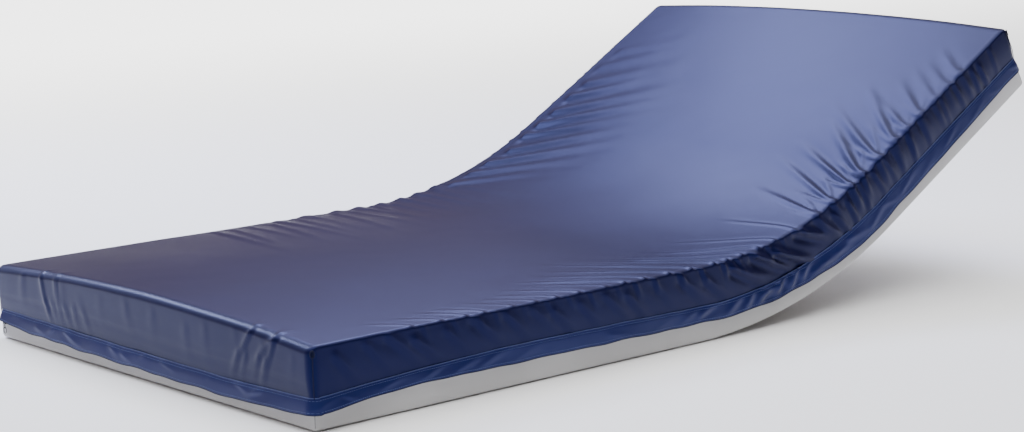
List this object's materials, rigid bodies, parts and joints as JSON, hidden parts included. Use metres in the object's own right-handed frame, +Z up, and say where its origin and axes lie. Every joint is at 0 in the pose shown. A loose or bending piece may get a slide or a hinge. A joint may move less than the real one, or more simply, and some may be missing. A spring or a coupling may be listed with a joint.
{
  "type": "pressure relief mattress",
  "caption": "Foam pressure relief mattress with a wipe-clean stretch top cover, zipped base cover and a back section that bends up.",
  "frame": {"origin": "centre of the flat section's underside, where it lies on the bed's deck", "axes": "+X from the foot to the head, +Z up out of the top, -Y towards the zipped long side"},
  "size_m": [1.9648, 1.0787, 0.5575],
  "materials": {
    "top_fabric": "satin coated stretch knit",
    "base_fabric": "matt woven",
    "flap_fabric": "satin coated stretch knit",
    "zip_coil": "woven tape and nylon coil",
    "seam_bead": "sewn edge",
    "comfort_foam": "open-cell foam",
    "core_foam": "open-cell foam",
    "bolster_foam": "open-cell foam",
    "heel_foam": "open-cell foam",
    "zip_hardware": "black",
    "loop_wire": "polished wire"
  },
  "bodies": {
    "foot_section": {"base_cover_0": "base_fabric", "top_cover_0": "top_fabric", "zip_flap_0": "flap_fabric", "zip_chain_0": "zip_coil", "far_seam_0": "seam_bead", "comfort_foam_0": "comfort_foam", "core_foam_0": "core_foam", "side_bolsters_0": "bolster_foam", "heel_block": "heel_foam", "foot_bolster": "bolster_foam", "corner_seam_foot_near": "seam_bead", "corner_seam_foot_far": "seam_bead", "zip_stop_foot": "zip_hardware"},
    "bend_section_1": {"base_cover_1": "base_fabric", "top_cover_1": "top_fabric", "zip_flap_1": "flap_fabric", "zip_chain_1": "zip_coil", "far_seam_1": "seam_bead", "comfort_foam_1": "comfort_foam", "core_foam_1": "core_foam", "side_bolsters_1": "bolster_foam"},
    "bend_section_2": {"base_cover_2": "base_fabric", "top_cover_2": "top_fabric", "zip_flap_2": "flap_fabric", "zip_chain_2": "zip_coil", "far_seam_2": "seam_bead", "comfort_foam_2": "comfort_foam", "core_foam_2": "core_foam", "side_bolsters_2": "bolster_foam"},
    "bend_section_3": {"base_cover_3": "base_fabric", "top_cover_3": "top_fabric", "zip_flap_3": "flap_fabric", "zip_chain_3": "zip_coil", "far_seam_3": "seam_bead", "comfort_foam_3": "comfort_foam", "core_foam_3": "core_foam", "side_bolsters_3": "bolster_foam"},
    "back_section": {"base_cover_4": "base_fabric", "top_cover_4": "top_fabric", "zip_flap_4": "flap_fabric", "zip_chain_4": "zip_coil", "far_seam_4": "seam_bead", "comfort_foam_4": "comfort_foam", "core_foam_4": "core_foam", "side_bolsters_4": "bolster_foam", "corner_seam_head_near": "seam_bead", "corner_seam_head_far": "seam_bead", "zip_stop_head": "zip_hardware"},
    "slider": {"zip_slider": "zip_hardware"},
    "link": {"pull_link": "zip_hardware"},
    "loop": {"pull_loop": "loop_wire"}
  },
  "joints": [
    {"name": "bend_1", "type": "hinge", "parent": "foot_section", "child": "bend_section_1", "pos_m": [0.53825, 0, 0.0474], "axis": [0, -1, 0], "range_deg": [-7.5, 10]},
    {"name": "bend_2", "type": "hinge", "parent": "bend_section_1", "child": "bend_section_2", "pos_m": [0.6835, 0, 0.06652], "axis": [0, -1, 0], "range_deg": [-7.5, 10]},
    {"name": "bend_3", "type": "hinge", "parent": "bend_section_2", "child": "bend_section_3", "pos_m": [0.82501, 0, 0.10444], "axis": [0, -1, 0], "range_deg": [-7.5, 10]},
    {"name": "bend_4", "type": "hinge", "parent": "bend_section_3", "child": "back_section", "pos_m": [0.96036, 0, 0.1605], "axis": [0, -1, 0], "range_deg": [-7.5, 10]},
    {"name": "zip_slide", "type": "slide", "parent": "foot_section", "child": "slider", "axis": [0, -1, 0], "range_m": [0, 1.02]},
    {"name": "link_lift", "type": "hinge", "parent": "slider", "child": "link", "pos_m": [-0.4704, 0.5105, 0.0328], "axis": [0, 1, 0], "range_deg": [-5, 90]},
    {"name": "loop_lift", "type": "hinge", "parent": "link", "child": "loop", "pos_m": [-0.4704, 0.5105, 0.0238], "axis": [0, 1, 0], "range_deg": [-10, 80]}
  ],
  "couplings": [
    {"joint": "bend_2", "follows": "bend_1", "ratio": 1},
    {"joint": "bend_3", "follows": "bend_1", "ratio": 1},
    {"joint": "bend_4", "follows": "bend_1", "ratio": 1}
  ]
}
